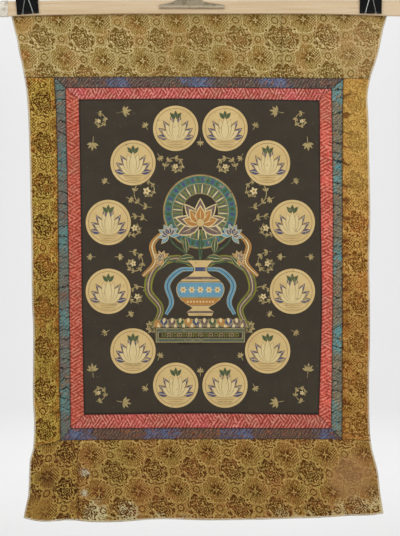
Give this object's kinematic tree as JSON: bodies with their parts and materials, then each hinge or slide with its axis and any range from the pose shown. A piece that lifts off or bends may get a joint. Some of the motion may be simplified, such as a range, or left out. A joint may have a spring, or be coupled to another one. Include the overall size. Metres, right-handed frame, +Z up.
{
  "type": "thangka scroll painting on a hanging lath",
  "caption": "Painted cloth panel in mitred silk borders and a brocade mount, clipped flat to a pale wooden lath that hangs from a steel clamp.",
  "frame": {"origin": "middle of the flat back of the clamp's handle, where a wall or stand holds the scroll up", "axes": "+Z up, +X to the viewer's right, +Y back towards the wall; the painted face looks along -Y"},
  "size_m": [0.61, 0.0211, 0.7923],
  "materials": {
    "painted_canvas": "matt distemper on sized cotton",
    "red_silk": "faded figured silk",
    "blue_silk": "faded silk with slubs",
    "top_brocade": "worn metallic brocade",
    "side_brocade": "worn metallic brocade",
    "bottom_brocade": "worn metallic brocade",
    "pale_wood": "planed, unfinished",
    "paper_tape": "smooth wound tape",
    "black_spring_steel": "black enamel",
    "nickelled_wire": "nickel plate",
    "clamp_steel": "dull nickel plate"
  },
  "bodies": {
    "root": {"painting": "painted_canvas", "red_top": "red_silk", "red_bottom": "red_silk", "red_left": "red_silk", "red_right": "red_silk", "blue_top": "blue_silk", "blue_bottom": "blue_silk", "blue_left": "blue_silk", "blue_right": "blue_silk", "brocade_top": "top_brocade", "brocade_top_right": "top_brocade", "brocade_left": "side_brocade", "brocade_right": "side_brocade", "brocade_bottom": "bottom_brocade", "brocade_bottom_left": "bottom_brocade", "lath": "pale_wood", "lath_tape": "paper_tape", "clip_left_body": "black_spring_steel", "clip_left_wire_front": "nickelled_wire", "clip_left_wire_back": "nickelled_wire", "clip_right_body": "black_spring_steel", "clip_right_wire_front": "nickelled_wire", "clip_right_wire_back": "nickelled_wire", "clamp_front": "clamp_steel", "clamp_back": "clamp_steel", "clamp_spring": "clamp_steel"}
  },
  "joints": []
}
